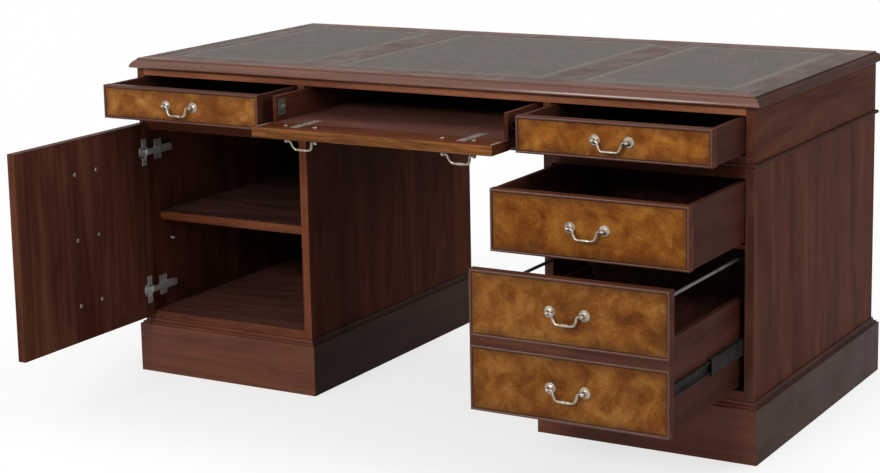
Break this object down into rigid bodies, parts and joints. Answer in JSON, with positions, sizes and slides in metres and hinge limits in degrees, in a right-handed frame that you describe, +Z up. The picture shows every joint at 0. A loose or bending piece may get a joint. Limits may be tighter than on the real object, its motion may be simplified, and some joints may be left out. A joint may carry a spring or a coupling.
{
  "type": "partners desk",
  "caption": "Pedestal desk with leather-inlaid moulded top, cupboard pedestal, drawer pedestal with file drawer, and pull-out keyboard tray with drop front.",
  "frame": {"origin": "on the floor, midway between the two pedestals and midway between the front and back of the carcass", "axes": "+X to the sitter's right along the desk, +Y from the sitter to the back, +Z up; the cupboard door, drawers, keyboard tray and drop front stand open at rest"},
  "size_m": [1.6, 1.251, 0.77],
  "materials": {
    "mahogany": "polished",
    "drawer_wood": "satin",
    "burr_walnut": "polished",
    "tooled_leather": "satin",
    "antique_brass": "aged",
    "steel": "zinc plated"
  },
  "bodies": {
    "desk": {"top_panel": "mahogany", "leather_centre": "tooled_leather", "leather_sides": "tooled_leather", "top_edge_moulding": "mahogany", "frieze_ends": "mahogany", "frieze_back": "mahogany", "frieze_top_rail": "mahogany", "frieze_bottom": "mahogany", "frieze_dividers": "mahogany", "frieze_bead": "mahogany", "drawer_bearers": "drawer_wood", "left_sides": "mahogany", "right_sides": "mahogany", "pedestal_boards": "mahogany", "pedestal_backs": "mahogany", "plinths": "mahogany", "cupboard_shelf": "mahogany", "shelf_studs": "steel", "right_drawer_rail": "mahogany", "file_slide_outer": "steel", "tray_slide_outer": "steel", "door_hinge_arms": "steel"},
    "left_drawer": {"left_drawer_front": "burr_walnut", "left_drawer_box": "drawer_wood", "left_drawer_handle_posts": "antique_brass"},
    "right_drawer": {"right_drawer_front": "burr_walnut", "right_drawer_box": "drawer_wood", "right_drawer_handle_posts": "antique_brass"},
    "upper_drawer": {"upper_drawer_front": "burr_walnut", "upper_drawer_box": "drawer_wood", "upper_drawer_handle_posts": "antique_brass"},
    "file_drawer": {"file_drawer_front": "burr_walnut", "file_drawer_box": "drawer_wood", "file_drawer_rails": "steel", "file_drawer_handle_posts": "antique_brass", "file_slide_inner": "steel"},
    "file_slide_middle": {"file_slide_middle": "steel"},
    "keyboard_tray": {"tray_floor": "mahogany", "tray_sides": "mahogany", "tray_slide_inner": "steel", "tray_catches": "steel", "tray_hinge_leaves": "steel"},
    "drop_front": {"drop_front": "burr_walnut", "drop_front_hinge_leaves": "steel", "drop_front_catch_plates": "steel", "drop_front_handle_posts": "antique_brass"},
    "cupboard_door": {"cupboard_door": "burr_walnut", "door_hinge_cups": "steel", "door_handle_posts": "antique_brass"},
    "left_drawer_bail": {"left_drawer_bail": "antique_brass"},
    "right_drawer_bail": {"right_drawer_bail": "antique_brass"},
    "upper_drawer_bail": {"upper_drawer_bail": "antique_brass"},
    "file_drawer_upper_bail": {"file_drawer_upper_bail": "antique_brass"},
    "file_drawer_lower_bail": {"file_drawer_lower_bail": "antique_brass"},
    "drop_front_left_bail": {"drop_front_left_bail": "antique_brass"},
    "drop_front_right_bail": {"drop_front_right_bail": "antique_brass"},
    "door_upper_bail": {"door_upper_bail": "antique_brass"},
    "door_middle_bail": {"door_middle_bail": "antique_brass"},
    "door_lower_bail": {"door_lower_bail": "antique_brass"}
  },
  "joints": [
    {"name": "left_drawer_slide", "type": "slide", "parent": "desk", "child": "left_drawer", "axis": [0, -1, 0], "range_m": [-0.154, 0.246]},
    {"name": "right_drawer_slide", "type": "slide", "parent": "desk", "child": "right_drawer", "axis": [0, -1, 0], "range_m": [-0.168, 0.232]},
    {"name": "upper_drawer_slide", "type": "slide", "parent": "desk", "child": "upper_drawer", "axis": [0, -1, 0], "range_m": [-0.282, 0.118]},
    {"name": "file_drawer_slide", "type": "slide", "parent": "desk", "child": "file_drawer", "axis": [0, -1, 0], "range_m": [-0.374, 0.126]},
    {"name": "file_slide_middle_slide", "type": "slide", "parent": "desk", "child": "file_slide_middle", "axis": [0, -1, 0], "range_m": [-0.187, 0.063]},
    {"name": "keyboard_tray_slide", "type": "slide", "parent": "desk", "child": "keyboard_tray", "axis": [0, -1, 0], "range_m": [-0.161, 0.099]},
    {"name": "drop_front_hinge", "type": "hinge", "parent": "keyboard_tray", "child": "drop_front", "pos_m": [0, -0.532, 0.66], "axis": [1, 0, 0], "range_deg": [-90, 0]},
    {"name": "cupboard_door_hinge", "type": "hinge", "parent": "desk", "child": "cupboard_door", "pos_m": [-0.7707, -0.3943, 0.378], "axis": [0, 0, -1], "range_deg": [-90, 5]},
    {"name": "left_drawer_bail_hinge", "type": "hinge", "parent": "left_drawer", "child": "left_drawer_bail", "pos_m": [-0.546, -0.5475, 0.689], "axis": [-1, 0, 0], "range_deg": [-20, 200]},
    {"name": "right_drawer_bail_hinge", "type": "hinge", "parent": "right_drawer", "child": "right_drawer_bail", "pos_m": [0.546, -0.5615, 0.689], "axis": [-1, 0, 0], "range_deg": [-20, 200]},
    {"name": "upper_drawer_bail_hinge", "type": "hinge", "parent": "upper_drawer", "child": "upper_drawer_bail", "pos_m": [0.546, -0.6755, 0.531], "axis": [-1, 0, 0], "range_deg": [-20, 200]},
    {"name": "file_drawer_upper_bail_hinge", "type": "hinge", "parent": "file_drawer", "child": "file_drawer_upper_bail", "pos_m": [0.546, -0.7675, 0.38125], "axis": [-1, 0, 0], "range_deg": [-20, 200]},
    {"name": "file_drawer_lower_bail_hinge", "type": "hinge", "parent": "file_drawer", "child": "file_drawer_lower_bail", "pos_m": [0.546, -0.7675, 0.226], "axis": [-1, 0, 0], "range_deg": [-20, 200]},
    {"name": "drop_front_left_bail_hinge", "type": "hinge", "parent": "drop_front", "child": "drop_front_left_bail", "pos_m": [-0.198, -0.561, 0.6375], "axis": [-1, 0, 0], "range_deg": [-92, 128]},
    {"name": "drop_front_right_bail_hinge", "type": "hinge", "parent": "drop_front", "child": "drop_front_right_bail", "pos_m": [0.198, -0.561, 0.6375], "axis": [-1, 0, 0], "range_deg": [-92, 128]},
    {"name": "door_upper_bail_hinge", "type": "hinge", "parent": "cupboard_door", "child": "door_upper_bail", "pos_m": [-0.7929, -0.619, 0.5355], "axis": [0, 1, 0], "range_deg": [-20, 200]},
    {"name": "door_middle_bail_hinge", "type": "hinge", "parent": "cupboard_door", "child": "door_middle_bail", "pos_m": [-0.7929, -0.619, 0.38125], "axis": [0, 1, 0], "range_deg": [-20, 200]},
    {"name": "door_lower_bail_hinge", "type": "hinge", "parent": "cupboard_door", "child": "door_lower_bail", "pos_m": [-0.7929, -0.619, 0.226], "axis": [0, 1, 0], "range_deg": [-20, 200]}
  ],
  "couplings": [
    {"joint": "file_slide_middle_slide", "follows": "file_drawer_slide", "ratio": 0.5}
  ]
}
